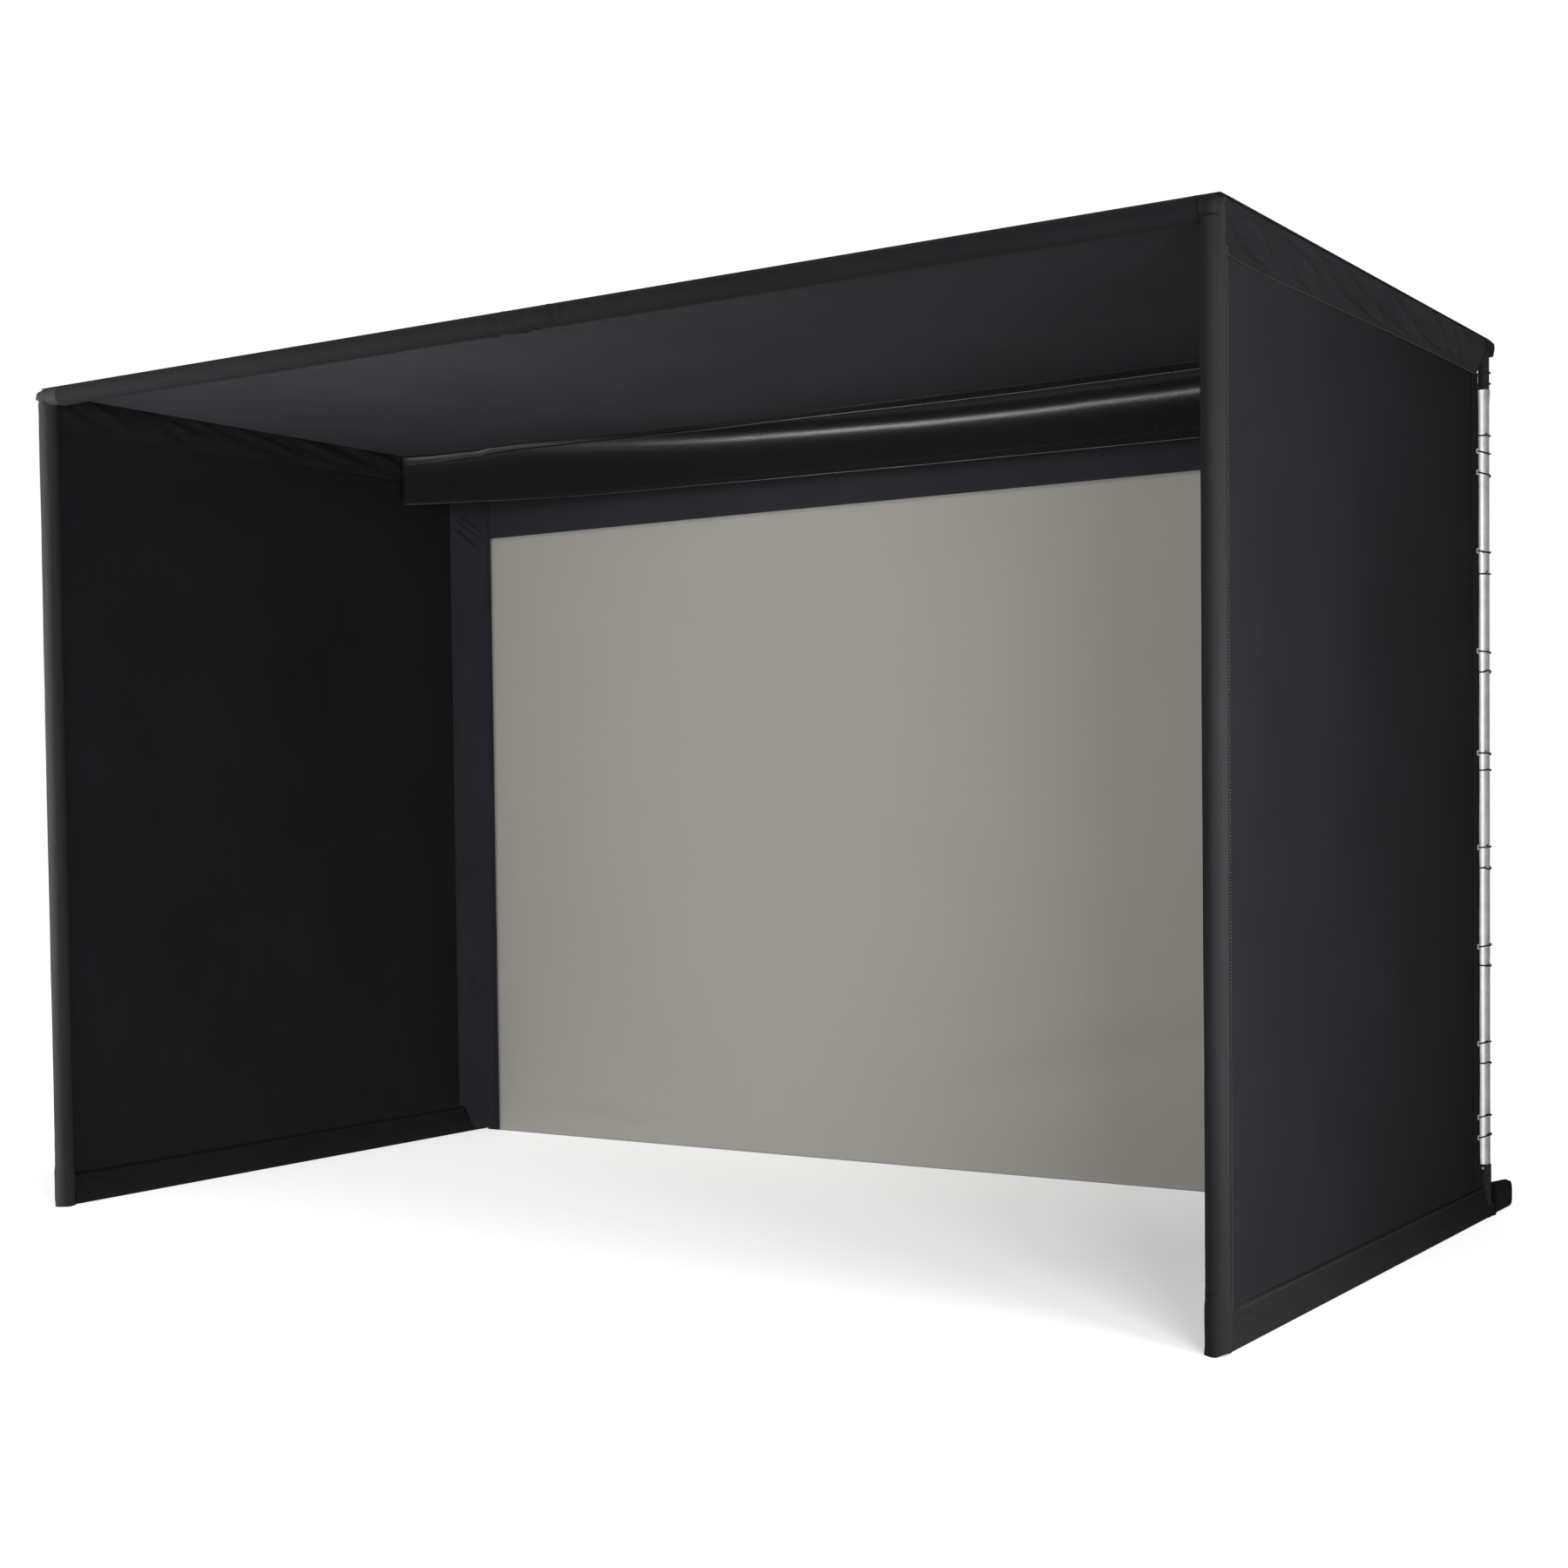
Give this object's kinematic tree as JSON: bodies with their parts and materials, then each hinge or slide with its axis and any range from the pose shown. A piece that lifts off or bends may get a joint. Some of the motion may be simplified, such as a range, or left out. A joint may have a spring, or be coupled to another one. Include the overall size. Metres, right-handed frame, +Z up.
{
  "type": "impact screen enclosure",
  "caption": "Free-standing pipe-frame enclosure with a black fabric roof and side walls, padded front edges and a taupe impact screen hung on elastic loops.",
  "frame": {"origin": "on the floor, at the middle of the footprint, rear feet included", "axes": "+Z up; the open front faces -Y and the screen closes the +Y end; +X runs along the width, to the right seen from the front"},
  "size_m": [3.751, 2.173, 2.44],
  "materials": {
    "galvanised_steel": "galvanised, satin, faint streaks along the pipe",
    "black_casting": "black powder coat, semi-gloss",
    "bright_screw": "zinc plated, bright",
    "black_foam": "closed-cell foam, matte",
    "shell_fabric": "plain-weave polyester, matte with a faint sheen",
    "baffle_fabric": "coated polyester, satin",
    "screen_fabric": "tight knit, fully matte, taupe grey",
    "border_fabric": "heavy binding, matte",
    "elastic_cord": "braided cover over elastic"
  },
  "bodies": {
    "frame": {"bottom_front_fitting_left": "black_casting", "bottom_front_fitting_right": "black_casting", "bottom_hem_left": "shell_fabric", "bottom_hem_right": "shell_fabric", "bottom_rear_fitting_left": "black_casting", "bottom_rear_fitting_right": "black_casting", "corner_cap_left": "shell_fabric", "corner_cap_right": "shell_fabric", "front_boot_left": "shell_fabric", "front_boot_right": "shell_fabric", "front_top_coupler": "black_casting", "front_top_foam": "black_foam", "front_top_pipe_left": "galvanised_steel", "front_top_pipe_right": "galvanised_steel", "front_top_sleeve": "shell_fabric", "front_upright_foam_left": "black_foam", "front_upright_foam_right": "black_foam", "front_upright_pipe_left": "galvanised_steel", "front_upright_pipe_right": "galvanised_steel", "front_upright_sleeve_left": "shell_fabric", "front_upright_sleeve_right": "shell_fabric", "impact_screen": "screen_fabric", "rear_bottom_coupler": "black_casting", "rear_bottom_pipe_left": "galvanised_steel", "rear_bottom_pipe_right": "galvanised_steel", "rear_foot_pipe_left": "galvanised_steel", "rear_foot_pipe_right": "galvanised_steel", "rear_top_coupler": "black_casting", "rear_top_pipe_left": "galvanised_steel", "rear_top_pipe_right": "galvanised_steel", "rear_upright_pipe_left": "galvanised_steel", "rear_upright_pipe_right": "galvanised_steel", "roof_panel": "shell_fabric", "roof_rear_flap": "shell_fabric", "screen_side_border_left": "border_fabric", "screen_side_border_right": "border_fabric", "screen_side_bungee_left": "elastic_cord", "screen_side_bungee_right": "elastic_cord", "screen_top_border": "border_fabric", "screen_top_bungee_left": "elastic_cord", "screen_top_bungee_right": "elastic_cord", "set_screw_left": "bright_screw", "set_screw_right": "bright_screw", "side_bottom_pipe_left": "galvanised_steel", "side_bottom_pipe_right": "galvanised_steel", "side_top_pipe_left": "galvanised_steel", "side_top_pipe_right": "galvanised_steel", "side_wall_left": "shell_fabric", "side_wall_right": "shell_fabric", "top_band_left": "shell_fabric", "top_band_right": "shell_fabric", "top_front_fitting_left": "black_casting", "top_front_fitting_right": "black_casting", "top_rear_fitting_left": "black_casting", "top_rear_fitting_right": "black_casting", "wall_bungee_left": "elastic_cord", "wall_bungee_right": "elastic_cord"},
    "ceiling_baffle": {"ceiling_baffle": "baffle_fabric"},
    "side_flap_left": {"side_flap_left": "shell_fabric"},
    "side_flap_right": {"side_flap_right": "shell_fabric"}
  },
  "joints": [
    {"name": "ceiling_baffle_swing", "type": "hinge", "parent": "frame", "child": "ceiling_baffle", "pos_m": [0, 0.5435, 2.4375], "axis": [1, 0, 0], "range_deg": [-25, 8], "stiffness_Nm_per_rad": 6},
    {"name": "side_flap_left_hinge", "type": "hinge", "parent": "frame", "child": "side_flap_left", "pos_m": [-1.8475, 0.7185, 0], "axis": [0, 0, -1], "range_deg": [0, 45]},
    {"name": "side_flap_right_hinge", "type": "hinge", "parent": "frame", "child": "side_flap_right", "pos_m": [1.8475, 0.7185, 0], "axis": [0, 0, 1], "range_deg": [0, 45]}
  ]
}
